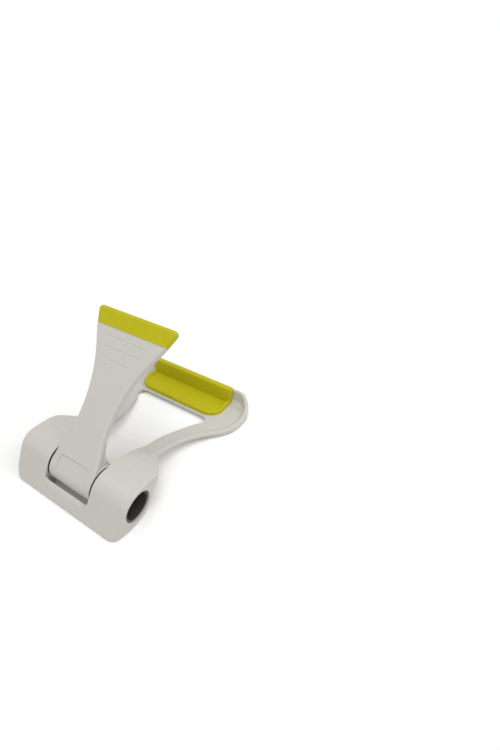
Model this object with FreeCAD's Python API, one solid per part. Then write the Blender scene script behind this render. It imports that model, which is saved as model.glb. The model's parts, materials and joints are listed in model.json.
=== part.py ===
"""Folding stand for tablets and phones.

A one-piece base (two hinge barrels, two ramped legs and a front tray with a lip) carries a
support arm on a hollow pivot tube. Soft pads sit on the tray, over the arm's top edge and
under the barrels. Millimetres, +Z up, the tray and its lip towards -Y.
"""
import FreeCAD, Part
import math
import os

Vector = FreeCAD.Vector

# Overall reach of the base, measured from the hinge axis
FRONT_REACH = 120.0
HEEL_REACH = 18.5
HINGE_Y = (FRONT_REACH - HEEL_REACH) / 2.0

# Hinge barrels
HINGE_HEIGHT = 13.0
BARREL_RADIUS = 11.5
BARREL_SPAN = 81.0
KNUCKLE_SLOT = 33.0
BORE_RADIUS = 9.5
EDGE_ROUND = 1.2

# Heel skirt and the low bridge behind the knuckle
SKIRT_CLEARANCE = 0.6
SKIRT_TOE = 1.4
HEEL_TAPER = 2.5
HEEL_TAPER_START = 2.0
HEEL_CORNER_RADIUS = 5.0
BRIDGE_TOP = 8.5
BRIDGE_DEPTH = 5.3
BRIDGE_ROUND = 2.0
NOTCH_ROUND = 3.5

# Leg roots, legs and tray in plan
ROOT_LENGTH = 17.5
WAIST_AT = 35.0
WAIST_HALF = 27.5
LEG_MID_HALF = 33.3
LEG_LOW_HALF = 43.0
TRAY_HALF = 50.8
TRAY_CORNER_RADIUS = 14.0
TRAY_DEPTH = 29.5
ROOT_CORNER_RADIUS = 7.0
WAIST_CORNER_RADIUS = 4.0

# Places along a leg where its curves are set, as shares of the way from its waist to the tray
FLARE_SHARE = 0.16
UPPER_SHARE = 0.27
MID_SHARE = 0.56
LOW_SHARE = 0.83

# Opening between the legs
OPENING_MID_HALF = 21.0
OPENING_LOW_HALF = 26.6
OPENING_FRONT_HALF = 33.0
OPENING_CORNER_RADIUS = 4.5

# Heights of the ramped top and the shell thickness
ROOT_TOP = 22.4
ROOT_THICKNESS = 5.2
ROOT_SLOPE = 0.3
WAIST_TOP = 15.0
LEG_UPPER_TOP = 10.7
LEG_MID_TOP = 7.4
LEG_LOW_TOP = 5.0
TRAY_FLOOR = 3.6
TRAY_EDGE = 2.0
TRAY_UNDERCUT = 4.0
SHELL = 3.6
LEG_CLEARANCE = 0.2
RIM_WIDTH = 2.6
RIM_HEIGHT = 0.9
RIM_COVE = 2.0
UNDER_ROUND = 1.6
LIP_TOP = 13.6
LIP_THICKNESS = 2.8
LIP_FILLET = 4.0
LIP_SHOULDER = 12.0
LIP_SLOPE = 1.33

# Pivot tube and friction washers
TUBE_WALL = 1.3
TUBE_RECESS = 1.0
TUBE_FIT = 0.03
RUNNING_FIT = 0.08
WASHER_THICKNESS = 1.0
WASHER_SETBACK = 0.35
WASHER_PLAY = 0.15

# Support arm
ARM_LEAN = 40.9
KNUCKLE_RADIUS = 11.2
ARM_THICKNESS = 4.4
ARM_LENGTH = 92.2
ARM_NECK_AT = 23.0
ARM_NECK_HALF = 11.3
ARM_WAIST_AT = 38.0
ARM_WAIST_HALF = 10.8
ARM_FLARE_AT = 65.0
ARM_FLARE_HALF = 16.5
ARM_TOP_HALF = 27.6
ARM_FILLET = 12.0
ARM_EDGE_ROUND = 0.9
SCOOP_RADIUS = 12.0
SCOOP_FLOOR = 0.1
PANEL_HALF = 10.7
PANEL_TOP = 6.6
PANEL_DEPTH = 0.6
PANEL_CORNER_RADIUS = 3.0

# Soft cap over the tongue at the arm's tip
CAP_WALL = 1.5
CAP_HEIGHT = 10.0
CAP_LOW_HALF = 24.1
CAP_PROUD = 0.3
CAP_FIT = 0.03
CAP_CORNER_RADIUS = 3.5
CAP_EDGE_ROUND = 0.9

# Soft pad in the tray
PAD_HALF = 34.2
PAD_FLOOR = 1.5
PAD_FIT = 0.1
PAD_BEAD = 3.0
PAD_BEAD_WIDTH = 3.0
PAD_BAR = 4.6
PAD_BAR_RISE = 2.9
PAD_REAR_MARGIN = 1.8
PAD_CORNER_RADIUS = 11.0

# Soft feet under the barrels
FOOT_HEIGHT = 2.6
FOOT_RADIUS = 9.7
FOOT_FRONT = 10.5
FOOT_INSET = 3.3

# Thin decorative grooves with a round bottom
GROOVE_WIDTH = 1.1
GROOVE_DEPTH = 0.2
ROOT_GROOVES = ((9.5, 13.0), (18.0, 11.5), (25.0, 9.0))
ROOT_GROOVE_CENTRE = 27.5
ARM_GROOVES = ((77.0, 26.0), (71.0, 24.0), (64.2, 13.5))

# Sizes that follow from those above
BARREL_HALF = BARREL_SPAN / 2.0
SLOT_HALF = KNUCKLE_SLOT / 2.0
BARREL_TOP = HINGE_HEIGHT + BARREL_RADIUS
TRAY_REAR = FRONT_REACH - TRAY_DEPTH
LIP_INNER = FRONT_REACH - LIP_THICKNESS
LEG_SPAN = TRAY_REAR - WAIST_AT
OPENING_FLARE_AT = WAIST_AT + FLARE_SHARE * LEG_SPAN
LEG_UPPER_AT = WAIST_AT + UPPER_SHARE * LEG_SPAN
LEG_MID_AT = WAIST_AT + MID_SHARE * LEG_SPAN
LEG_LOW_AT = WAIST_AT + LOW_SHARE * LEG_SPAN
KNUCKLE_HALF = SLOT_HALF - WASHER_THICKNESS - WASHER_PLAY
GROOVE_RADIUS = (GROOVE_WIDTH ** 2 / 4.0 + GROOVE_DEPTH ** 2) / (2.0 * GROOVE_DEPTH)
BIG = 3.0 * FRONT_REACH

# Limits used to pick edges and faces
TOUCH = 1e-3
UPRIGHT = 0.05
SLOPING = 0.3


def prism_x(face_wire, half):
    """Solid from a closed wire in the YZ plane, stretched to both sides of X = 0."""
    face = Part.Face(face_wire)
    face.translate(Vector(-half, 0, 0))
    return face.extrude(Vector(2.0 * half, 0, 0))


def prism_z(face_wire, bottom, top):
    """Solid from a closed wire in the XY plane, between two heights."""
    face = Part.Face(face_wire)
    face.translate(Vector(0, 0, bottom))
    return face.extrude(Vector(0, 0, top - bottom))


def spline(points, start=None, end=None):
    """Edge of a smooth curve through the points, with optional end directions."""
    curve = Part.BSplineCurve()
    if start is None:
        curve.interpolate(points)
    else:
        curve.interpolate(Points=points, InitialTangent=start, FinalTangent=end)
    return curve.toShape()


def line(a, b):
    return Part.LineSegment(a, b).toShape()


def polygon(points):
    return Part.makePolygon(points + [points[0]])


def mirrored(edges):
    """The edges and their mirror images across X = 0, as one closed wire."""
    both = list(edges)
    for edge in edges:
        both.append(edge.mirror(Vector(0, 0, 0), Vector(1, 0, 0)))
    return Part.Wire(Part.__sortEdges__(both))


def side(y, z):
    return Vector(0, -y, z)


def plan(x, y):
    return Vector(x, -y, 0)


def cylinder_x(radius, half):
    return Part.makeCylinder(radius, 2.0 * half, Vector(-half, 0, 0), Vector(1, 0, 0))


def leg_edge(inset):
    """Plan curve of a leg's outer edge from the waist to the tray, moved inwards by an inset."""
    tray_y = FRONT_REACH - TRAY_CORNER_RADIUS
    outer = [
        plan(WAIST_HALF, WAIST_AT),
        plan(LEG_MID_HALF, LEG_MID_AT),
        plan(LEG_LOW_HALF, LEG_LOW_AT),
        plan(TRAY_HALF, tray_y),
    ]
    moved = [outer[0] - Vector(inset, 0, 0)]
    for before, here, after in zip(outer, outer[1:], outer[2:]):
        along = (after - before).normalize()
        moved.append(here + Vector(along.y, -along.x, 0) * inset)
    moved.append(outer[-1] - Vector(inset, 0, 0))
    forward = Vector(0, -1, 0)
    return spline(moved, forward, forward)


def tray_corner(inset):
    """Plan arc of the tray's front corner, moved inwards by an inset."""
    radius = TRAY_CORNER_RADIUS - inset
    centre = plan(TRAY_HALF - TRAY_CORNER_RADIUS, FRONT_REACH - TRAY_CORNER_RADIUS)
    turn = math.sqrt(0.5) * radius
    start = centre + Vector(radius, 0, 0)
    end = centre + Vector(0, -radius, 0)
    return Part.Arc(start, centre + Vector(turn, -turn, 0), end).toShape()


def rim_outline():
    """Plan outline of the dished area inside the rim, from the leg roots to the lip."""
    root_half = BARREL_HALF - RIM_WIDTH
    waist = plan(WAIST_HALF - RIM_WIDTH, WAIST_AT)
    front = FRONT_REACH - RIM_WIDTH
    corner_x = TRAY_HALF - TRAY_CORNER_RADIUS
    return mirrored([
        line(plan(0, ROOT_LENGTH), plan(root_half, ROOT_LENGTH)),
        line(plan(root_half, ROOT_LENGTH), waist),
        leg_edge(RIM_WIDTH),
        tray_corner(RIM_WIDTH),
        line(plan(corner_x, front), plan(0, front)),
    ])


def base_outline():
    """Plan outline of the base: heel, barrels, tapered roots, flared legs and tray."""
    length = HEEL_REACH - HEEL_TAPER_START
    bend = (length ** 2 + HEEL_TAPER ** 2) / (2.0 * HEEL_TAPER)
    halfway = bend - math.sqrt(bend ** 2 - length ** 2 / 4.0)
    taper_start = plan(BARREL_HALF, -HEEL_TAPER_START)
    taper_mid = plan(BARREL_HALF - halfway, -HEEL_TAPER_START - length / 2.0)
    heel = plan(BARREL_HALF - HEEL_TAPER, -HEEL_REACH)
    tray_x = TRAY_HALF - TRAY_CORNER_RADIUS
    return mirrored([
        line(plan(0, -HEEL_REACH), heel),
        Part.Arc(heel, taper_mid, taper_start).toShape(),
        line(taper_start, plan(BARREL_HALF, ROOT_LENGTH)),
        line(plan(BARREL_HALF, ROOT_LENGTH), plan(WAIST_HALF, WAIST_AT)),
        leg_edge(0.0),
        tray_corner(0.0),
        line(plan(tray_x, FRONT_REACH), plan(0, FRONT_REACH)),
    ])


def opening_outline():
    """Plan outline of the opening between the barrels, the legs and the tray."""
    rear = BRIDGE_DEPTH - HEEL_REACH
    flare = [
        plan(SLOT_HALF, OPENING_FLARE_AT),
        plan(OPENING_MID_HALF, LEG_MID_AT),
        plan(OPENING_LOW_HALF, LEG_LOW_AT),
        plan(OPENING_FRONT_HALF, TRAY_REAR),
    ]
    outward = flare[3] - flare[2]
    return mirrored([
        line(plan(0, rear), plan(SLOT_HALF, rear)),
        line(plan(SLOT_HALF, rear), flare[0]),
        spline(flare, Vector(0, -1, 0), outward.normalize()),
        line(flare[3], plan(0, TRAY_REAR)),
    ])


def ramp_top():
    """Side curve of the rim, from the barrel's top down to the tray."""
    points = [
        side(0, BARREL_TOP),
        side(ROOT_LENGTH, ROOT_TOP),
        side(WAIST_AT, WAIST_TOP),
        side(LEG_UPPER_AT, LEG_UPPER_TOP),
        side(LEG_MID_AT, LEG_MID_TOP),
        side(LEG_LOW_AT, LEG_LOW_TOP),
        side(TRAY_REAR, TRAY_FLOOR + RIM_HEIGHT),
    ]
    return points


def shell_profile():
    """Side outline of the legs and the tray, solid up to the rim and the lip."""
    forward = Vector(0, -1, 0)
    top = ramp_top()
    rim = TRAY_FLOOR + RIM_HEIGHT
    shoulder = [
        top[-1],
        side(FRONT_REACH - LIP_SHOULDER, rim + 2.0 * RIM_HEIGHT),
        side(LIP_INNER, LIP_TOP),
    ]
    under = [side(TRAY_REAR, 0)]
    for point in reversed(top[2:-1]):
        under.append(Vector(0, point.y, max(point.z - SHELL, LEG_CLEARANCE)))
    under.append(side(ROOT_LENGTH, ROOT_TOP - ROOT_THICKNESS))
    web = side((BARREL_RADIUS + BORE_RADIUS) / 2.0, HINGE_HEIGHT)
    return Part.Wire([
        spline(top, forward, forward),
        spline(shoulder, forward, Vector(0, -1, LIP_SLOPE)),
        line(side(LIP_INNER, LIP_TOP), side(FRONT_REACH, LIP_TOP)),
        line(side(FRONT_REACH, LIP_TOP), side(FRONT_REACH, 0)),
        line(side(FRONT_REACH, 0), under[0]),
        spline(under, Vector(0, 1, 0), Vector(0, 1, ROOT_SLOPE)),
        line(under[-1], web),
        line(web, side(0, HINGE_HEIGHT)),
        line(side(0, HINGE_HEIGHT), top[0]),
    ])


def dish_tool():
    """Space above the dished legs and the tray floor, inside the rim and the lip."""
    forward = Vector(0, -1, 0)
    floor = []
    for point in ramp_top()[2:]:
        floor.append(point - Vector(0, 0, RIM_HEIGHT))
    start = side(ROOT_LENGTH, ROOT_TOP + RIM_HEIGHT)
    fillet_start = side(LIP_INNER - LIP_FILLET, TRAY_FLOOR)
    turn = math.sqrt(0.5) * LIP_FILLET
    centre = side(LIP_INNER - LIP_FILLET, TRAY_FLOOR + LIP_FILLET)
    fillet_mid = centre + Vector(0, -turn, -turn)
    fillet_end = side(LIP_INNER, TRAY_FLOOR + LIP_FILLET)
    ceiling = BARREL_TOP + LIP_TOP
    profile = Part.Wire([
        spline([start] + floor, Vector(0, -1, -ROOT_SLOPE), forward),
        line(floor[-1], fillet_start),
        Part.Arc(fillet_start, fillet_mid, fillet_end).toShape(),
        line(fillet_end, side(LIP_INNER, ceiling)),
        line(side(LIP_INNER, ceiling), side(ROOT_LENGTH, ceiling)),
        line(side(ROOT_LENGTH, ceiling), start),
    ])
    tool = prism_z(rim_outline(), -BIG, BIG).common(prism_x(profile, BIG))
    coves = []
    for edge in wall_edges(tool, -1):
        if edge.BoundBox.YLength > RIM_COVE:
            coves.append(edge)
    return tool.makeFillet(RIM_COVE, coves)


def skirt_slope():
    """Side points where the skirt's slope leaves the barrel and where it meets the heel's toe."""
    heel = side(-HEEL_REACH, SKIRT_CLEARANCE + SKIRT_TOE)
    axis = side(0, HINGE_HEIGHT)
    reach = heel - axis
    tangent = math.atan2(reach.z, reach.y) + math.acos(BARREL_RADIUS / reach.Length)
    touch = axis + Vector(0, math.cos(tangent), math.sin(tangent)) * BARREL_RADIUS
    return touch, heel


def barrel_block():
    """Both barrels with the sloping heel skirt behind them."""
    touch, heel = skirt_slope()
    axis = side(0, HINGE_HEIGHT)
    skirt = polygon([
        touch,
        heel,
        side(-HEEL_REACH, SKIRT_CLEARANCE),
        side(0, SKIRT_CLEARANCE),
        axis,
    ])
    barrel = cylinder_x(BARREL_RADIUS, BARREL_HALF)
    barrel.translate(axis)
    return barrel.fuse(prism_x(skirt, BARREL_HALF))


def knuckle_notch():
    """Rounded gap in the heel skirt that clears the arm's knuckle."""
    depth = HEEL_REACH + BARREL_RADIUS
    notch = Part.makeBox(KNUCKLE_SLOT, depth, BIG, Vector(-SLOT_HALF, 0, BRIDGE_TOP))
    corners = []
    for edge in notch.Edges:
        low = abs(edge.CenterOfMass.z - BRIDGE_TOP) < TOUCH
        if low and edge.BoundBox.YLength > depth / 2.0:
            corners.append(edge)
    return notch.makeFillet(NOTCH_ROUND, corners)


def bridge_round():
    """Strip that rounds the bridge's outer upper edge between the notch's corners."""
    touch, heel = skirt_slope()
    down = (heel - touch).normalize()
    corner = touch + down * ((BRIDGE_TOP - touch.z) / down.z)
    inward = Vector(0, -1, 0)
    half_angle = down.getAngle(inward) / 2.0
    reach = BRIDGE_ROUND / math.tan(half_angle)
    on_top = corner + inward * reach
    on_slope = corner + down * reach
    middle = (inward + down).normalize()
    centre = corner + middle * (BRIDGE_ROUND / math.sin(half_angle))
    bulge = centre - middle * BRIDGE_ROUND
    out = corner - middle * BRIDGE_ROUND
    wire = Part.Wire([
        Part.Arc(on_top, bulge, on_slope).toShape(),
        line(on_slope, out),
        line(out, on_top),
    ])
    return prism_x(wire, SLOT_HALF - NOTCH_ROUND)


def tray_undercut():
    """Bevel under the tray's rear edge, which leaves that edge thin."""
    top = TRAY_FLOOR + RIM_HEIGHT - TRAY_EDGE
    wire = polygon([
        side(TRAY_REAR, top),
        side(TRAY_REAR + TRAY_UNDERCUT, 0),
        side(TRAY_REAR + TRAY_UNDERCUT, -TRAY_EDGE),
        side(TRAY_REAR - TRAY_EDGE, -TRAY_EDGE),
        side(TRAY_REAR - TRAY_EDGE, top),
    ])
    return prism_x(wire, OPENING_FRONT_HALF - OPENING_CORNER_RADIUS)


def make_foot(sign):
    """Soft round foot, let into the underside of one barrel."""
    across = sign * (BARREL_HALF - FOOT_INSET - FOOT_RADIUS)
    return Part.makeCylinder(FOOT_RADIUS, FOOT_HEIGHT, Vector(across, FOOT_RADIUS - FOOT_FRONT, 0))


def root_grooves(base):
    """Thin slots across the top of both leg roots, shorter towards the tray."""
    slots = []
    for at, length in ROOT_GROOVES:
        for sign in (-1, 1):
            centre = plan(sign * ROOT_GROOVE_CENTRE, at)
            inside = line(centre, centre + Vector(0, 0, BIG)).common(base)
            centre.z = inside.BoundBox.ZMax + GROOVE_RADIUS - GROOVE_DEPTH
            slot = cylinder_x(GROOVE_RADIUS, length / 2.0)
            slot.translate(centre)
            slots.append(slot)
    return slots


def upright_edges(solid, places):
    """Edges of a Z prism that pass through any of the plan points."""
    found = []
    for edge in solid.Edges:
        middle = edge.CenterOfMass
        for place in places:
            aside = Vector(abs(middle.x) - place.x, middle.y - place.y, 0)
            if edge.BoundBox.ZLength > BIG and aside.Length < TOUCH:
                found.append(edge)
    return found


def wall_edges(solid, facing):
    """Edges where an upright wall meets a face that looks up (facing 1) or down (facing -1)."""
    found = []
    for edge in solid.Edges:
        rises = []
        for face in solid.ancestorsOfType(edge, Part.Face):
            u0, u1, v0, v1 = face.ParameterRange
            rises.append(facing * face.normalAt((u0 + u1) / 2.0, (v0 + v1) / 2.0).z)
        if min(map(abs, rises)) < UPRIGHT and max(rises) > SLOPING:
            found.append(edge)
    return found


def legs_and_tray(footprint):
    """Ramped shell inside the footprint, with rounded lower edges ahead of the waist."""
    shell = prism_x(shell_profile(), BIG).common(footprint)
    start = -WAIST_AT - WAIST_CORNER_RADIUS
    ahead = Part.makeBox(2.0 * BIG, BIG, 2.0 * BIG, Vector(-BIG, start - BIG, -BIG))
    front = shell.common(ahead)
    lower = []
    for edge in wall_edges(front, -1):
        if edge.CenterOfMass.y < start - UNDER_ROUND:
            lower.append(edge)
    return front.makeFillet(UNDER_ROUND, lower).fuse(shell.cut(ahead))


def make_base():
    footprint = prism_z(base_outline(), -BIG, BIG)
    heel = upright_edges(footprint, [plan(BARREL_HALF - HEEL_TAPER, -HEEL_REACH)])
    footprint = footprint.makeFillet(HEEL_CORNER_RADIUS, heel)
    root = upright_edges(footprint, [plan(BARREL_HALF, ROOT_LENGTH)])
    footprint = footprint.makeFillet(ROOT_CORNER_RADIUS, root)
    waist = upright_edges(footprint, [plan(WAIST_HALF, WAIST_AT)])
    footprint = footprint.makeFillet(WAIST_CORNER_RADIUS, waist)
    opening = prism_z(opening_outline(), -BIG, BIG)
    corners = upright_edges(opening, [plan(OPENING_FRONT_HALF, TRAY_REAR)])
    opening = opening.makeFillet(OPENING_CORNER_RADIUS, corners)
    base = legs_and_tray(footprint).fuse(barrel_block().common(footprint))
    base = base.removeSplitter()
    base = base.makeFillet(EDGE_ROUND, wall_edges(base, 1))
    base = base.cut(dish_tool())
    base = base.cut(opening)
    base = base.cut(knuckle_notch())
    base = base.cut(bridge_round())
    base = base.cut(tray_undercut())
    for slot in root_grooves(base):
        base = base.cut(slot)
    for sign in (-1, 1):
        base = base.cut(make_foot(sign))
    bore = cylinder_x(BORE_RADIUS, BIG)
    bore.translate(side(0, HINGE_HEIGHT))
    return base.cut(bore).removeSplitter()


def arm_edge(grow):
    """Side edge of the arm, in the XZ plane, from the knuckle to the tip, grown by an amount."""
    points = [
        Vector(KNUCKLE_HALF + grow, 0, 0),
        Vector(ARM_NECK_HALF + grow, 0, ARM_NECK_AT),
        Vector(ARM_WAIST_HALF + grow, 0, ARM_WAIST_AT),
        Vector(ARM_FLARE_HALF + grow, 0, ARM_FLARE_AT),
        Vector(CAP_LOW_HALF + grow, 0, ARM_LENGTH - CAP_HEIGHT),
        Vector(ARM_TOP_HALF + grow, 0, ARM_LENGTH + grow),
    ]
    outward = points[-1] - points[-2]
    return spline(points, Vector(0, 0, 1), outward.normalize())


def arm_outline(grow):
    """Closed hourglass outline of the arm, grown by an amount."""
    foot = line(Vector(0, 0, 0), Vector(KNUCKLE_HALF + grow, 0, 0))
    tip_height = ARM_LENGTH + grow
    tip = line(Vector(ARM_TOP_HALF + grow, 0, tip_height), Vector(0, 0, tip_height))
    return mirrored([foot, arm_edge(grow), tip])


def slab(wire, front, back):
    """Solid from a closed wire in the XZ plane, between two depths."""
    face = Part.Face(wire)
    face.translate(Vector(0, front, 0))
    return face.extrude(Vector(0, back - front, 0))


def arm_plate():
    """Hourglass plate, tangent to the back of the knuckle, with a thinner tongue at its tip."""
    front = KNUCKLE_RADIUS - ARM_THICKNESS
    plate = slab(arm_outline(0.0), front, KNUCKLE_RADIUS)
    sides = []
    for edge in plate.Edges:
        if edge.BoundBox.ZLength > ARM_LENGTH / 2.0:
            sides.append(edge)
    plate = plate.makeFillet(ARM_EDGE_ROUND, sides)
    shoulder = Vector(-BIG, -BIG, ARM_LENGTH - CAP_HEIGHT)
    plate = plate.cut(Part.makeBox(2.0 * BIG, 2.0 * BIG, BIG, shoulder))
    return plate.fuse(tongue(0.0))


def tongue(gap):
    """Inner part of the arm's tip that the cap is pushed over, grown by a gap."""
    front = KNUCKLE_RADIUS - ARM_THICKNESS + CAP_WALL - gap
    back = KNUCKLE_RADIUS - CAP_WALL + gap
    return slab(arm_outline(gap - CAP_WALL), front, back)


def knuckle_fillet():
    """Concave fill between the plate's front and the knuckle."""
    plate_front = KNUCKLE_RADIUS - ARM_THICKNESS
    reach = KNUCKLE_RADIUS + ARM_FILLET
    centre = Vector(0, plate_front - ARM_FILLET, 0)
    centre.z = math.sqrt(reach ** 2 - centre.y ** 2)
    on_plate = Vector(0, plate_front, centre.z)
    on_knuckle = centre * (KNUCKLE_RADIUS / reach)
    middle = centre + ((on_plate + on_knuckle) * 0.5 - centre).normalize() * ARM_FILLET
    wire = Part.Wire([
        Part.Arc(on_plate, middle, on_knuckle).toShape(),
        line(on_knuckle, Vector(0, 0, 0)),
        line(Vector(0, 0, 0), Vector(0, plate_front, 0)),
        line(Vector(0, plate_front, 0), on_plate),
    ])
    return prism_x(wire, KNUCKLE_HALF)


def back_panel():
    """Shallow round-topped recess on the arm's back that runs out on the knuckle."""
    height = PANEL_TOP + KNUCKLE_RADIUS
    corner = Vector(-PANEL_HALF, KNUCKLE_RADIUS - PANEL_DEPTH, -KNUCKLE_RADIUS)
    panel = Part.makeBox(2.0 * PANEL_HALF, ARM_THICKNESS, height, corner)
    tops = []
    for edge in panel.Edges:
        if edge.BoundBox.YLength > ARM_THICKNESS / 2.0 and edge.CenterOfMass.z > 0:
            tops.append(edge)
    return panel.makeFillet(PANEL_CORNER_RADIUS, tops)


def front_scoop():
    """Hollow between the arm's front and the knuckle that leaves a rib on each side."""
    start = Vector(0, KNUCKLE_RADIUS - ARM_THICKNESS - SCOOP_RADIUS - SCOOP_FLOOR, 0)
    scoop = Part.makeCylinder(SCOOP_RADIUS, ARM_LENGTH, start)
    return scoop.cut(cylinder_x(KNUCKLE_RADIUS, BIG))


def arm_grooves():
    """Thin slots across the arm's back, below the cap."""
    slots = []
    for at, length in ARM_GROOVES:
        slot = cylinder_x(GROOVE_RADIUS, length / 2.0)
        slot.translate(Vector(0, KNUCKLE_RADIUS + GROOVE_RADIUS - GROOVE_DEPTH, at))
        slots.append(slot)
    return slots


def lean(shape):
    """Turn an upright arm piece to its lean and set it on the hinge axis."""
    shape.rotate(Vector(0, 0, 0), Vector(1, 0, 0), ARM_LEAN)
    shape.translate(side(0, HINGE_HEIGHT))
    return shape


def make_arm():
    sides = slab(arm_outline(0.0), -BIG, BIG)
    arm = cylinder_x(KNUCKLE_RADIUS, KNUCKLE_HALF)
    arm = arm.fuse(arm_plate())
    arm = arm.fuse(knuckle_fillet().common(sides).cut(front_scoop()))
    arm = arm.cut(back_panel())
    for slot in arm_grooves():
        arm = arm.cut(slot)
    arm = arm.cut(cylinder_x(BORE_RADIUS - TUBE_FIT + RUNNING_FIT, BIG))
    return arm.removeSplitter()


def make_cap():
    """Soft cap: a sleeve over the tongue that carries on the arm's flare."""
    front = KNUCKLE_RADIUS - ARM_THICKNESS
    bottom = ARM_LENGTH - CAP_HEIGHT
    body = slab(arm_outline(CAP_PROUD), front - CAP_PROUD, KNUCKLE_RADIUS + CAP_PROUD)
    body = body.common(Part.makeBox(2.0 * BIG, 2.0 * BIG, BIG, Vector(-BIG, -BIG, bottom)))
    ends = []
    for edge in body.Edges:
        if edge.BoundBox.YLength > ARM_THICKNESS and edge.CenterOfMass.z > ARM_LENGTH:
            ends.append(edge)
    body = body.makeFillet(CAP_CORNER_RADIUS, ends)
    rims = []
    for edge in body.Edges:
        if edge.BoundBox.YLength < CAP_FIT and edge.BoundBox.ZMax > bottom + CAP_FIT:
            rims.append(edge)
    body = body.makeFillet(CAP_EDGE_ROUND, rims)
    return body.cut(tongue(CAP_FIT))


def make_tray_pad():
    """Soft pad: floor with a raised bead behind and a bar along the lip."""
    rear = TRAY_REAR + PAD_REAR_MARGIN
    bar_back = LIP_INNER - PAD_BAR
    depth = bar_back - rear
    floor = Part.makeBox(2.0 * PAD_HALF, depth, PAD_BEAD, Vector(-PAD_HALF, -bar_back, TRAY_FLOOR))
    corners = []
    for edge in floor.Edges:
        if edge.BoundBox.ZLength > PAD_BEAD / 2.0 and edge.CenterOfMass.y > -bar_back + depth / 2.0:
            corners.append(edge)
    floor = floor.makeFillet(PAD_CORNER_RADIUS, corners)
    well_half = PAD_HALF - PAD_BEAD_WIDTH
    well_corner = Vector(-well_half, -bar_back - PAD_BAR, TRAY_FLOOR + PAD_FLOOR)
    well = Part.makeBox(2.0 * well_half, depth - PAD_BEAD_WIDTH + PAD_BAR, PAD_BEAD, well_corner)
    corners = []
    for edge in well.Edges:
        if edge.BoundBox.ZLength > PAD_BEAD / 2.0 and edge.CenterOfMass.y > -bar_back + depth / 2.0:
            corners.append(edge)
    well = well.makeFillet(PAD_CORNER_RADIUS - PAD_BEAD_WIDTH, corners)
    height = LIP_TOP + PAD_BAR_RISE - TRAY_FLOOR
    bar = Part.makeBox(2.0 * PAD_HALF, PAD_BAR, height, Vector(-PAD_HALF, -LIP_INNER, TRAY_FLOOR))
    pad = floor.cut(well).fuse(bar).removeSplitter()
    heels = []
    for edge in pad.Edges:
        middle = edge.CenterOfMass
        if abs(middle.y + LIP_INNER) < TOUCH and abs(middle.z - TRAY_FLOOR) < TOUCH:
            heels.append(edge)
    return pad.makeFillet(LIP_FILLET + PAD_FIT, heels)


def make_tube():
    """Hollow pivot tube through both barrels and the knuckle."""
    half = BARREL_HALF - TUBE_RECESS
    outer = BORE_RADIUS - TUBE_FIT
    tube = cylinder_x(outer, half).cut(cylinder_x(outer - TUBE_WALL, BIG))
    tube.translate(side(0, HINGE_HEIGHT))
    return tube


def make_washer(sign):
    """Friction washer between one barrel and the knuckle."""
    outer = BARREL_RADIUS - WASHER_SETBACK
    start = SLOT_HALF - WASHER_THICKNESS if sign > 0 else -SLOT_HALF
    ring = Part.makeCylinder(outer, WASHER_THICKNESS, Vector(start, 0, 0), Vector(1, 0, 0))
    ring = ring.cut(cylinder_x(BORE_RADIUS - TUBE_FIT + RUNNING_FIT, BIG))
    ring.translate(side(0, HINGE_HEIGHT))
    return ring


def write(name, shape):
    shape.translate(Vector(0, HINGE_Y, 0))
    solids = len(shape.Solids)
    print(name, "solids", solids, "valid", shape.isValid(), "volume", round(shape.Volume, 1))
    shape.exportStep(os.path.join("parts", name + ".step"))


os.makedirs("parts", exist_ok=True)
write("base_frame", make_base())
write("support_arm", lean(make_arm()))
write("arm_pad", lean(make_cap()))
write("tray_pad", make_tray_pad())
write("foot_left", make_foot(-1))
write("foot_right", make_foot(1))
write("hinge_tube", make_tube())
write("friction_washer_left", make_washer(-1))
write("friction_washer_right", make_washer(1))
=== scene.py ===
"""Looks of a folding desk stand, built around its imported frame.

The moulded base, the arm and the hinge keep their own shapes and get procedural finishes. The
soft cap, the tray pad and the feet are modelled here. Metres, +Z up, the tray towards -Y.
"""

import json
import math

import bmesh
import bpy
from mathutils import Matrix, Vector


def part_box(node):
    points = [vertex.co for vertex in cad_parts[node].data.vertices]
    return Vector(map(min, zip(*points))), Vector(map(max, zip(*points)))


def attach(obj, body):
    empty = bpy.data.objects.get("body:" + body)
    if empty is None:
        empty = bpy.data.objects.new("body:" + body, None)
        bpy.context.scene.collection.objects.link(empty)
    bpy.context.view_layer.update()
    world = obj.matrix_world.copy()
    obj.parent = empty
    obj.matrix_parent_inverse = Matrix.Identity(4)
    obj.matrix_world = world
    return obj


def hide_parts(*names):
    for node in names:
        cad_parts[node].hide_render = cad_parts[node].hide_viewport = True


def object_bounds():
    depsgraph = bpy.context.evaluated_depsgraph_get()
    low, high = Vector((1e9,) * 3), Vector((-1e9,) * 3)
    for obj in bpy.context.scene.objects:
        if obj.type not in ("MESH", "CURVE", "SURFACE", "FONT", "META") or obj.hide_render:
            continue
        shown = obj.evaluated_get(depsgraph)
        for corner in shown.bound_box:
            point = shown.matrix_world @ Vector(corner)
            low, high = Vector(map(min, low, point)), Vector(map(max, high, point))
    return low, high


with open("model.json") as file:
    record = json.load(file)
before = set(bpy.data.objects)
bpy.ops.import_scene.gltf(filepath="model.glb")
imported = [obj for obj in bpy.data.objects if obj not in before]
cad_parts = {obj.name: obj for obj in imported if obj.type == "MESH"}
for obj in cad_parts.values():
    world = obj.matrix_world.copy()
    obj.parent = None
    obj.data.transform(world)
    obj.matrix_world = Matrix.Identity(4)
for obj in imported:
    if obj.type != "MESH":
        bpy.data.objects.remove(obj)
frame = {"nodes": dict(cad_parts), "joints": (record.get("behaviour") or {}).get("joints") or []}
CAD_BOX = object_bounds()

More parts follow.
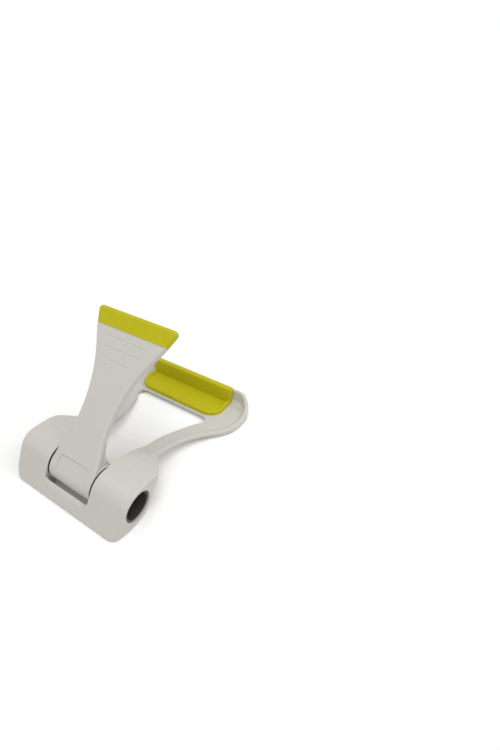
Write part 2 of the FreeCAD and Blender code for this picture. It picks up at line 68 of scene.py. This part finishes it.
bl_info = {
    "name": "Folding Stand Dresser",
    "version": (1, 0, 0),
    "blender": (4, 5, 0),
    "location": "View3D > Sidebar > Stand",
    "description": "Soft pieces, finishes and studio for a folding phone and tablet stand",
    "category": "Object",
}

HINGE = Vector(frame["joints"][0]["pos_m"])
MM = 0.001

# Points closer than this count as one, in metres
MERGE = 1e-6

# The tray pad's rims are rounded from this far below the top of its heel
RIM_MARGIN = 1.2 * MM

# Turns past which an edge is rounded, shading breaks and flat faces stay apart
SHARP_TURN = math.radians(60.0)
SHADING_TURN = math.radians(50.0)
FLAT_TURN = math.radians(1.0)

# Segments of the roundings
CAP_CORNER_SEGMENTS = 8
CAP_EDGE_SEGMENTS = 7
PAD_CORNER_SEGMENTS = 10
PAD_HEEL_SEGMENTS = 8
BEAD_SEGMENTS = 5
FOOT_SIDES = 64
FOOT_EDGE_SEGMENTS = 4

# Noise of the finishes, and the depth of the moulded grain in metres
NOISE_ROUGHNESS = 0.55
PATCH_DETAIL = 3.0
GRAIN_DETAIL = 2.0
GRAIN_DEPTH = 0.00003

# How much lighter the worn patches of the dark pieces are
TUBE_WEAR = 1.6
WASHER_WEAR = 1.8

# Colours of the studio
WHITE = (1.0, 1.0, 1.0, 1.0)
SKY = (1.0, 1.0, 0.985, 1.0)
FLOOR_PAPER = (0.8, 0.8, 0.79, 1.0)

# Width of the camera's frame in millimetres, and its near limit in metres
FRAME_WIDTH = 36.0
NEAR_LIMIT = 0.01


class StandSizes(bpy.types.PropertyGroup):
    """Sizes of the soft pieces"""

    arm_lean: bpy.props.FloatProperty(
        name="Arm lean", description="How far the arm leans forward from upright",
        default=math.radians(40.9), subtype="ANGLE")
    arm_back: bpy.props.FloatProperty(
        name="Arm back", description="Distance of the arm's back from the hinge axis",
        default=11.2 * MM, unit="LENGTH")
    arm_thickness: bpy.props.FloatProperty(
        name="Arm thickness", description="Thickness of the arm's plate",
        default=4.4 * MM, unit="LENGTH")
    cap_bottom: bpy.props.FloatProperty(
        name="Cap bottom", description="Distance of the cap's mouth from the hinge axis",
        default=82.2 * MM, unit="LENGTH")
    cap_top: bpy.props.FloatProperty(
        name="Cap top", description="Distance of the cap's top from the hinge axis",
        default=92.5 * MM, unit="LENGTH")
    cap_low_half: bpy.props.FloatProperty(
        name="Cap mouth half width", description="Half the cap's width at its mouth",
        default=24.4 * MM, unit="LENGTH")
    cap_top_half: bpy.props.FloatProperty(
        name="Cap top half width", description="Half the cap's width at its top",
        default=27.9 * MM, unit="LENGTH")
    cap_proud: bpy.props.FloatProperty(
        name="Cap proud", description="How far the cap stands out from the arm's faces",
        default=0.3 * MM, unit="LENGTH")
    cap_wall: bpy.props.FloatProperty(
        name="Cap wall", description="Wall of the cap around the arm's tongue",
        default=1.75 * MM, unit="LENGTH")
    cap_corner: bpy.props.FloatProperty(
        name="Cap corner", description="Radius of the cap's two upper corners",
        default=3.6 * MM, unit="LENGTH")
    cap_edge: bpy.props.FloatProperty(
        name="Cap edge", description="Rounding of the cap's long edges",
        default=2.1 * MM, unit="LENGTH")
    bead_height: bpy.props.FloatProperty(
        name="Bead height", description="Height of the bead around the tray pad",
        default=3.0 * MM, unit="LENGTH")
    bead_width: bpy.props.FloatProperty(
        name="Bead width", description="Width of the bead around the tray pad",
        default=3.0 * MM, unit="LENGTH")
    bead_round: bpy.props.FloatProperty(
        name="Bead rounding", description="Rounding of the bead and of the front bar",
        default=1.3 * MM, unit="LENGTH")
    pad_floor: bpy.props.FloatProperty(
        name="Pad floor", description="Thickness of the tray pad's floor",
        default=1.5 * MM, unit="LENGTH")
    pad_bar: bpy.props.FloatProperty(
        name="Front bar", description="Thickness of the bar along the tray's lip",
        default=4.6 * MM, unit="LENGTH")
    pad_corner: bpy.props.FloatProperty(
        name="Pad corner", description="Radius of the tray pad's rear corners",
        default=11.0 * MM, unit="LENGTH")
    pad_heel: bpy.props.FloatProperty(
        name="Pad heel", description="Rounding under the bar, where the lip meets the tray",
        default=4.1 * MM, unit="LENGTH")
    foot_edge: bpy.props.FloatProperty(
        name="Foot edge", description="Rounding of a foot's lower edge",
        default=0.8 * MM, unit="LENGTH")


class StandColours(bpy.types.PropertyGroup):
    """Colours of the finishes"""

    plastic: bpy.props.FloatVectorProperty(
        name="Plastic", description="Warm white of the moulded base and arm",
        default=(0.66, 0.64, 0.595), subtype="COLOR", min=0.0, max=1.0)
    plastic_tint: bpy.props.FloatVectorProperty(
        name="Plastic tint", description="Slightly darker patches in the moulded plastic",
        default=(0.62, 0.6, 0.555), subtype="COLOR", min=0.0, max=1.0)
    silicone: bpy.props.FloatVectorProperty(
        name="Silicone", description="Lemon yellow of the soft pieces",
        default=(0.56, 0.525, 0.010), subtype="COLOR", min=0.0, max=1.0)
    silicone_tint: bpy.props.FloatVectorProperty(
        name="Silicone tint", description="Deeper yellow patches in the silicone",
        default=(0.52, 0.475, 0.008), subtype="COLOR", min=0.0, max=1.0)
    tube: bpy.props.FloatVectorProperty(
        name="Tube", description="Dark grey of the pivot tube",
        default=(0.045, 0.045, 0.042), subtype="COLOR", min=0.0, max=1.0)
    # Near black of the friction washers, kept this dark as painted shade for the narrow gaps beside
    # the knuckle
    washer_and_gap_shade: bpy.props.FloatVectorProperty(
        name="Washer", description="Black of the friction washers",
        default=(0.012, 0.012, 0.012), subtype="COLOR", min=0.0, max=1.0)


class StandStage(bpy.types.PropertyGroup):
    """Camera, light and floor"""

    camera_place: bpy.props.FloatVectorProperty(
        name="Camera place", description="Where the camera stands",
        default=(-0.1279, 0.1511, 0.1956), subtype="TRANSLATION", unit="LENGTH")
    camera_turn: bpy.props.FloatVectorProperty(
        name="Camera turn", description="How the camera is turned",
        default=(math.radians(53.93), math.radians(-1.47), math.radians(-145.19)), subtype="EULER")
    camera_lens: bpy.props.FloatProperty(
        name="Lens", description="Focal length in millimetres for a 36 mm frame",
        default=19.56, min=1.0)
    camera_shift: bpy.props.FloatProperty(
        name="Shift", description="Sideways shift that puts the stand left of the middle",
        default=0.1)
    sky_light: bpy.props.FloatProperty(
        name="Sky light", description="Strength of the light from all around", default=0.42)
    key_place: bpy.props.FloatVectorProperty(
        name="Key place", description="Place of the softbox above, from the stand's middle",
        default=(0.02, 0.06, 0.75), subtype="TRANSLATION", unit="LENGTH")
    key_size: bpy.props.FloatProperty(
        name="Key size", description="Side of the softbox above", default=0.45, unit="LENGTH")
    key_power: bpy.props.FloatProperty(
        name="Key power", description="Power of the softbox above", default=1.7, unit="POWER")
    fill_place: bpy.props.FloatVectorProperty(
        name="Fill place", description="Place of the softbox in front, from the stand's middle",
        default=(-0.45, -0.25, 0.5), subtype="TRANSLATION", unit="LENGTH")
    fill_size: bpy.props.FloatProperty(
        name="Fill size", description="Side of the softbox in front", default=0.6, unit="LENGTH")
    fill_power: bpy.props.FloatProperty(
        name="Fill power", description="Power of the softbox in front", default=1.5, unit="POWER")
    rear_place: bpy.props.FloatVectorProperty(
        name="Rear place", description="Place of the softbox behind, from the stand's middle",
        default=(-0.2, 0.6, 0.5), subtype="TRANSLATION", unit="LENGTH")
    rear_size: bpy.props.FloatProperty(
        name="Rear size", description="Side of the softbox behind", default=0.6, unit="LENGTH")
    rear_power: bpy.props.FloatProperty(
        name="Rear power", description="Power of the softbox behind", default=1.3, unit="POWER")
    floor_half: bpy.props.FloatProperty(
        name="Floor half", description="Half the side of the floor", default=3.0, unit="LENGTH")
    floor_white: bpy.props.FloatProperty(
        name="Floor white", description="How white the floor looks beside the stand", default=1.15)
    floor_near: bpy.props.FloatProperty(
        name="Floor near", description="Distance within which the floor keeps its shadow",
        default=0.06, unit="LENGTH")
    floor_far: bpy.props.FloatProperty(
        name="Floor far", description="Distance past which the floor is plain white",
        default=0.15, unit="LENGTH")


def new_material(name):
    """A node material, its tree and its principled shader."""
    material = bpy.data.materials.new(name)
    material.use_nodes = True
    tree = material.node_tree
    shader = tree.nodes["Principled BSDF"]
    return material, tree, shader


def add_node(tree, kind, **values):
    """A node with its named settings and input values filled in."""
    node = tree.nodes.new(kind)
    for key, value in values.items():
        if key in node.inputs:
            node.inputs[key].default_value = value
        else:
            setattr(node, key, value)
    return node


def noise(tree, scale, detail):
    """Noise on the piece's own coordinates, in metres."""
    place = add_node(tree, "ShaderNodeTexCoord")
    pattern = add_node(
        tree, "ShaderNodeTexNoise", Scale=scale, Detail=detail, Roughness=NOISE_ROUGHNESS)
    tree.links.new(place.outputs["Object"], pattern.inputs["Vector"])
    return pattern.outputs["Fac"]


def mottle(tree, shader, colour, tint, scale):
    """Two close colours that drift over the surface."""
    mix = add_node(tree, "ShaderNodeMix", data_type="RGBA")
    mix.inputs["A"].default_value = (*colour, 1.0)
    mix.inputs["B"].default_value = (*tint, 1.0)
    tree.links.new(noise(tree, scale, PATCH_DETAIL), mix.inputs["Factor"])
    tree.links.new(mix.outputs["Result"], shader.inputs["Base Color"])


def sheen_spread(tree, shader, scale, low, high):
    """Roughness that wanders between two values."""
    spread = add_node(tree, "ShaderNodeMapRange")
    spread.inputs["To Min"].default_value = low
    spread.inputs["To Max"].default_value = high
    tree.links.new(noise(tree, scale, GRAIN_DETAIL), spread.inputs["Value"])
    tree.links.new(spread.outputs["Result"], shader.inputs["Roughness"])


def skin(tree, shader, scale, strength):
    """Fine moulded grain as bump."""
    bump = add_node(tree, "ShaderNodeBump", Strength=strength, Distance=GRAIN_DEPTH)
    tree.links.new(noise(tree, scale, GRAIN_DETAIL), bump.inputs["Height"])
    tree.links.new(bump.outputs["Normal"], shader.inputs["Normal"])


def plastic_finish(name, colours):
    """Satin warm white plastic with a fine moulded grain."""
    material, tree, shader = new_material(name)
    mottle(tree, shader, colours.plastic, colours.plastic_tint, scale=45.0)
    sheen_spread(tree, shader, scale=260.0, low=0.36, high=0.48)
    skin(tree, shader, scale=3800.0, strength=0.12)
    shader.inputs["Specular IOR Level"].default_value = 0.45
    return material


def silicone_finish(name, colours):
    """Soft matte yellow silicone."""
    material, tree, shader = new_material(name)
    mottle(tree, shader, colours.silicone, colours.silicone_tint, scale=90.0)
    sheen_spread(tree, shader, scale=420.0, low=0.5, high=0.62)
    skin(tree, shader, scale=5200.0, strength=0.12)
    shader.inputs["Specular IOR Level"].default_value = 0.2
    return material


def tube_finish(name, colours):
    """Smooth dark plastic, a little worn."""
    material, tree, shader = new_material(name)
    worn = tuple(TUBE_WEAR * part for part in colours.tube)
    mottle(tree, shader, colours.tube, worn, scale=120.0)
    sheen_spread(tree, shader, scale=500.0, low=0.34, high=0.46)
    skin(tree, shader, scale=2600.0, strength=0.2)
    return material


def washer_and_gap_shade_finish(name, colours):
    """Matte black of the friction washers, which also paints the shade in the narrow gaps beside
    the knuckle.
    """
    material, tree, shader = new_material(name)
    worn = tuple(WASHER_WEAR * part for part in colours.washer_and_gap_shade)
    mottle(tree, shader, colours.washer_and_gap_shade, worn, scale=300.0)
    sheen_spread(tree, shader, scale=900.0, low=0.75, high=0.9)
    skin(tree, shader, scale=4000.0, strength=0.25)
    shader.inputs["Specular IOR Level"].default_value = 0.12
    return material


FINISHES = {
    "white_plastic_satin": plastic_finish,
    "yellow_silicone_soft": silicone_finish,
    "dark_tube_plastic": tube_finish,
    "black_washer_and_gap_shade": washer_and_gap_shade_finish,
}


def finish(context, name):
    """The finish of that name, made the first time it is asked for."""
    found = bpy.data.materials.get(name)
    if found is None:
        found = FINISHES[name](name, context.scene.stand_colours)
    return found


def dress_node(name, material):
    """Give a carried-over node its finish."""
    mesh = frame["nodes"][name].data
    mesh.materials.clear()
    mesh.materials.append(material)


def edges_where(shape, test):
    """Edges of a shape whose two end points pass a test."""
    return [edge for edge in shape.edges if all(test(vert.co) for vert in edge.verts)]


def sharp_edges(shape, test):
    """Edges of a shape that turn sharply and whose middle passes a test."""
    found = []
    for edge in shape.edges:
        middle = (edge.verts[0].co + edge.verts[1].co) / 2.0
        if len(edge.link_faces) == 2 and edge.calc_face_angle() > SHARP_TURN and test(middle):
            found.append(edge)
    return found


def round_off(shape, items, radius, segments, affect="EDGES"):
    """Bevel edges or corners to a round of the given radius."""
    bmesh.ops.bevel(
        shape, geom=items, offset=radius, offset_type="OFFSET", segments=segments,
        profile=0.5, affect=affect, clamp_overlap=False, material=-1)


def raise_faces(shape, faces, height, keep=False):
    """Pull flat faces up by a height and give back the new top faces."""
    grown = bmesh.ops.extrude_face_region(shape, geom=faces)["geom"]
    bmesh.ops.translate(
        shape, verts=[item for item in grown if isinstance(item, bmesh.types.BMVert)],
        vec=(0.0, 0.0, height))
    if not keep:
        bmesh.ops.delete(shape, geom=faces, context="FACES")
    return [item for item in grown if isinstance(item, bmesh.types.BMFace)]


def soft_piece(context, name, shape, body, *nodes):
    """Turn a shape into a silicone piece that rides on a body and stands for CAD nodes."""
    bmesh.ops.remove_doubles(shape, verts=shape.verts, dist=MERGE)
    bmesh.ops.recalc_face_normals(shape, faces=shape.faces)
    mesh = bpy.data.meshes.new(name)
    shape.to_mesh(mesh)
    shape.free()
    for face in mesh.polygons:
        face.use_smooth = True
    mesh.set_sharp_from_angle(angle=SHADING_TURN)
    mesh.materials.append(finish(context, "yellow_silicone_soft"))
    piece = bpy.data.objects.new(name, mesh)
    context.scene.collection.objects.link(piece)
    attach(piece, body)
    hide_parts(*nodes)


class STAND_OT_moulded_frame(bpy.types.Operator):
    """Give the moulded base and the arm their satin white plastic"""

    bl_idname = "stand.moulded_frame"
    bl_label = "Moulded Base and Arm"

    def execute(self, context):
        plastic = finish(context, "white_plastic_satin")
        for name in ("base_frame", "support_arm"):
            dress_node(name, plastic)
        return {"FINISHED"}


class STAND_OT_hinge(bpy.types.Operator):
    """Give the pivot tube and the friction washers their dark finishes; the washers' black also
    paints the shade in the gaps beside the knuckle
    """

    bl_idname = "stand.hinge"
    bl_label = "Hinge Tube and Washers"

    def execute(self, context):
        dress_node("hinge_tube", finish(context, "dark_tube_plastic"))
        washer_and_gap_shade = finish(context, "black_washer_and_gap_shade")
        for side in ("left", "right"):
            dress_node("friction_washer_" + side, washer_and_gap_shade)
        return {"FINISHED"}


class STAND_OT_arm_cap(bpy.types.Operator):
    """Model the soft cap that is pushed over the arm's tip"""

    bl_idname = "stand.arm_cap"
    bl_label = "Arm Cap"

    def execute(self, context):
        sizes = context.scene.stand_sizes
        height = sizes.cap_top - sizes.cap_bottom
        halfway = sizes.cap_bottom + height / 2.0
        depth = sizes.arm_thickness + 2.0 * sizes.cap_proud
        middle = sizes.arm_back - sizes.arm_thickness / 2.0
        narrowing = sizes.cap_low_half / sizes.cap_top_half

        # Block that narrows towards the mouth
        shape = bmesh.new()
        bmesh.ops.create_cube(shape, size=1.0)
        bmesh.ops.scale(shape, verts=shape.verts, vec=(2.0 * sizes.cap_top_half, depth, height))
        bmesh.ops.translate(shape, verts=shape.verts, vec=(0.0, middle, halfway))
        low = [vert for vert in shape.verts if vert.co.z < halfway]
        bmesh.ops.scale(shape, verts=low, vec=(narrowing, 1.0, 1.0))

        # Roundings
        corners = [edge for edge in edges_where(shape, lambda point: point.z > halfway)
                   if abs(edge.verts[0].co.x - edge.verts[1].co.x) < MERGE]
        round_off(shape, corners, sizes.cap_corner, CAP_CORNER_SEGMENTS)
        rims = sharp_edges(shape, lambda point: point.z > sizes.cap_bottom + MERGE)
        round_off(shape, rims, sizes.cap_edge, CAP_EDGE_SEGMENTS)

        # Pocket for the arm's tongue, which widens upwards like the block
        mouth = min(shape.faces, key=lambda face: face.calc_center_median().z)
        bmesh.ops.inset_region(shape, faces=[mouth], thickness=sizes.cap_wall, use_even_offset=True)
        for inner in raise_faces(shape, [mouth], height - sizes.cap_wall):
            bmesh.ops.scale(shape, verts=list(inner.verts), vec=(1.0 / narrowing, 1.0, 1.0))

        place = Matrix.Translation(HINGE) @ Matrix.Rotation(sizes.arm_lean, 4, "X")
        bmesh.ops.transform(shape, verts=shape.verts, matrix=place)
        soft_piece(context, "arm_cap", shape, "arm", "arm_pad")
        return {"FINISHED"}


class STAND_OT_tray_pad(bpy.types.Operator):
    """Model the soft tray pad with its bead and the bar along the lip"""

    bl_idname = "stand.tray_pad"
    bl_label = "Tray Pad"

    def execute(self, context):
        sizes = context.scene.stand_sizes
        low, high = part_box("tray_pad")
        size = high - low
        centre = (low + high) / 2.0
        bar_back = low.y + sizes.pad_bar
        bead_top = low.z + sizes.bead_height
        rim_start = low.z + sizes.pad_heel - RIM_MARGIN

        def is_bar(face):
            return face.calc_center_median().y < bar_back

        # Outline, with the bead and the bar marked out on it
        shape = bmesh.new()
        bmesh.ops.create_grid(shape, x_segments=1, y_segments=1, size=0.5)
        bmesh.ops.scale(shape, verts=shape.verts, vec=(size.x, size.y, 1.0))
        bmesh.ops.translate(shape, verts=shape.verts, vec=(centre.x, centre.y, low.z))
        rear = [vert for vert in shape.verts if vert.co.y > centre.y]
        round_off(shape, rear, sizes.pad_corner, PAD_CORNER_SEGMENTS, affect="VERTICES")
        bmesh.ops.inset_region(
            shape, faces=list(shape.faces), thickness=sizes.bead_width, use_boundary=True,
            use_even_offset=True)
        bmesh.ops.bisect_plane(
            shape, geom=list(shape.verts) + list(shape.edges) + list(shape.faces), dist=MERGE,
            plane_co=(0.0, bar_back, 0.0), plane_no=(0.0, 1.0, 0.0))
        bmesh.ops.dissolve_faces(shape, faces=[face for face in shape.faces if is_bar(face)])

        # Floor, bead and bar, each raised from the one before
        top = raise_faces(shape, list(shape.faces), sizes.pad_floor, keep=True)
        well = max((face for face in top if not is_bar(face)), key=lambda face: face.calc_area())
        top = raise_faces(
            shape, [face for face in top if face != well], sizes.bead_height - sizes.pad_floor)
        raise_faces(shape, [face for face in top if is_bar(face)], high.z - bead_top)
        bmesh.ops.recalc_face_normals(shape, faces=shape.faces)
        bmesh.ops.dissolve_limit(
            shape, angle_limit=FLAT_TURN, verts=list(shape.verts), edges=list(shape.edges))

        # Roundings
        heel = edges_where(
            shape, lambda point: point.y < low.y + MERGE and point.z < low.z + MERGE)
        round_off(shape, heel, sizes.pad_heel, PAD_HEEL_SEGMENTS)
        rims = sharp_edges(shape, lambda point: point.z > rim_start)
        rims = [edge for edge in rims if edge.is_convex]
        round_off(shape, rims, sizes.bead_round, BEAD_SEGMENTS)
        soft_piece(context, "tray_cushion", shape, "base", "tray_pad")
        return {"FINISHED"}


class STAND_OT_feet(bpy.types.Operator):
    """Model the two soft round feet under the barrels"""

    bl_idname = "stand.feet"
    bl_label = "Feet"

    def execute(self, context):
        sizes = context.scene.stand_sizes
        for side in ("left", "right"):
            low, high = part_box("foot_" + side)
            radius = (high.x - low.x) / 2.0
            shape = bmesh.new()
            bmesh.ops.create_cone(
                shape, cap_ends=True, cap_tris=False, segments=FOOT_SIDES, radius1=radius,
                radius2=radius, depth=high.z - low.z)
            bmesh.ops.translate(shape, verts=shape.verts, vec=(low + high) / 2.0)
            lower = edges_where(shape, lambda point: point.z < low.z + MERGE)
            round_off(shape, lower, sizes.foot_edge, FOOT_EDGE_SEGMENTS)
            soft_piece(context, "round_foot_" + side, shape, "base", "foot_" + side)
        return {"FINISHED"}


def seen_directly(tree):
    """One for rays from the camera, a reflection or a pane, and nothing for other rays."""
    path = add_node(tree, "ShaderNodeLightPath")
    first = add_node(tree, "ShaderNodeMath", operation="MAXIMUM")
    second = add_node(tree, "ShaderNodeMath", operation="MAXIMUM")
    tree.links.new(path.outputs["Is Camera Ray"], first.inputs[0])
    tree.links.new(path.outputs["Is Glossy Ray"], first.inputs[1])
    tree.links.new(first.outputs["Value"], second.inputs[0])
    tree.links.new(path.outputs["Is Transmission Ray"], second.inputs[1])
    return second.outputs["Value"]


def floor_material(stage):
    """White floor that keeps the stand's shadow and runs out to plain white further away."""
    material = bpy.data.materials.new("studio_floor")
    material.use_nodes = True
    tree = material.node_tree
    tree.nodes.remove(tree.nodes["Principled BSDF"])
    seen = seen_directly(tree)
    white = stage.floor_white
    paper = add_node(tree, "ShaderNodeMix", data_type="RGBA")
    paper.inputs["A"].default_value = FLOOR_PAPER
    paper.inputs["B"].default_value = (white, white, white, 1.0)
    matte = add_node(tree, "ShaderNodeBsdfDiffuse")
    tree.links.new(seen, paper.inputs["Factor"])
    tree.links.new(paper.outputs["Result"], matte.inputs["Color"])
    place = add_node(tree, "ShaderNodeTexCoord")
    away = add_node(tree, "ShaderNodeVectorMath", operation="LENGTH")
    fade = add_node(tree, "ShaderNodeMapRange", interpolation_type="SMOOTHSTEP")
    fade.inputs["From Min"].default_value = stage.floor_near
    fade.inputs["From Max"].default_value = stage.floor_far
    tree.links.new(place.outputs["Object"], away.inputs[0])
    tree.links.new(away.outputs["Value"], fade.inputs["Value"])
    share = add_node(tree, "ShaderNodeMath", operation="MULTIPLY")
    tree.links.new(fade.outputs["Result"], share.inputs[0])
    tree.links.new(seen, share.inputs[1])
    glow = add_node(tree, "ShaderNodeEmission", Color=WHITE, Strength=1.0)
    pick = add_node(tree, "ShaderNodeMixShader")
    tree.links.new(share.outputs["Value"], pick.inputs["Fac"])
    tree.links.new(matte.outputs["BSDF"], pick.inputs[1])
    tree.links.new(glow.outputs["Emission"], pick.inputs[2])
    tree.links.new(pick.outputs["Shader"], tree.nodes["Material Output"].inputs["Surface"])
    return material


def studio_world(strength):
    """Even light from all around, seen as white by the camera."""
    world = bpy.data.worlds.new("studio")
    world.use_nodes = True
    tree = world.node_tree
    sky = tree.nodes["Background"]
    sky.inputs["Color"].default_value = SKY
    sky.inputs["Strength"].default_value = strength
    white = add_node(tree, "ShaderNodeBackground", Color=WHITE, Strength=1.0)
    pick = add_node(tree, "ShaderNodeMixShader")
    tree.links.new(seen_directly(tree), pick.inputs["Fac"])
    tree.links.new(sky.outputs["Background"], pick.inputs[1])
    tree.links.new(white.outputs["Background"], pick.inputs[2])
    tree.links.new(pick.outputs["Shader"], tree.nodes["World Output"].inputs["Surface"])
    return world


def softbox(name, aim, offset, size, power):
    """A large square lamp, set off from the point that it looks at."""
    lamp = bpy.data.lights.new(name, "AREA")
    lamp.shape = "SQUARE"
    lamp.size = size
    lamp.energy = power
    place = aim + Vector(offset)
    holder = bpy.data.objects.new(name, lamp)
    holder.location = place
    holder.rotation_euler = (aim - place).to_track_quat("-Z", "Y").to_euler()
    bpy.context.scene.collection.objects.link(holder)


class STAND_OT_stage(bpy.types.Operator):
    """Set up the floor, the lamps, the world and the camera"""

    bl_idname = "stand.stage"
    bl_label = "Stage"

    def execute(self, context):
        scene = context.scene
        stage = scene.stand_stage
        shape = bmesh.new()
        bmesh.ops.create_grid(shape, x_segments=1, y_segments=1, size=stage.floor_half)
        mesh = bpy.data.meshes.new("studio_floor")
        shape.to_mesh(mesh)
        shape.free()
        mesh.materials.append(floor_material(stage))
        floor = bpy.data.objects.new("studio_floor", mesh)
        scene.collection.objects.link(floor)
        scene.world = studio_world(stage.sky_light)
        middle = (CAD_BOX[0] + CAD_BOX[1]) / 2.0
        softbox("key", middle, stage.key_place, stage.key_size, stage.key_power)
        softbox("fill", middle, stage.fill_place, stage.fill_size, stage.fill_power)
        softbox("rear", middle, stage.rear_place, stage.rear_size, stage.rear_power)
        lens = bpy.data.cameras.new("camera")
        lens.sensor_width = FRAME_WIDTH
        lens.lens = stage.camera_lens
        lens.shift_x = stage.camera_shift
        lens.clip_start = NEAR_LIMIT
        camera = bpy.data.objects.new("camera", lens)
        camera.location = stage.camera_place
        camera.rotation_euler = stage.camera_turn
        scene.collection.objects.link(camera)
        scene.camera = camera
        scene.view_settings.view_transform = "Standard"
        return {"FINISHED"}


class STAND_PT_sidebar(bpy.types.Panel):
    """Lists the stand's pieces"""

    bl_idname = "STAND_PT_sidebar"
    bl_label = "Stand"
    bl_space_type = "VIEW_3D"
    bl_region_type = "UI"
    bl_category = "Stand"

    def draw(self, context):
        for operator in OPERATORS:
            self.layout.operator(operator.bl_idname)


OPERATORS = (
    STAND_OT_moulded_frame,
    STAND_OT_hinge,
    STAND_OT_arm_cap,
    STAND_OT_tray_pad,
    STAND_OT_feet,
    STAND_OT_stage,
)
CLASSES = (StandSizes, StandColours, StandStage) + OPERATORS + (STAND_PT_sidebar,)


def register():
    for item in CLASSES:
        bpy.utils.register_class(item)
    bpy.types.Scene.stand_sizes = bpy.props.PointerProperty(type=StandSizes)
    bpy.types.Scene.stand_colours = bpy.props.PointerProperty(type=StandColours)
    bpy.types.Scene.stand_stage = bpy.props.PointerProperty(type=StandStage)


def unregister():
    del bpy.types.Scene.stand_stage
    del bpy.types.Scene.stand_colours
    del bpy.types.Scene.stand_sizes
    for item in reversed(CLASSES):
        bpy.utils.unregister_class(item)


def main():
    register()
    bpy.ops.stand.moulded_frame()
    bpy.ops.stand.hinge()
    bpy.ops.stand.arm_cap()
    bpy.ops.stand.tray_pad()
    bpy.ops.stand.feet()
    bpy.ops.stand.stage()


if __name__ == "__main__":
    main()
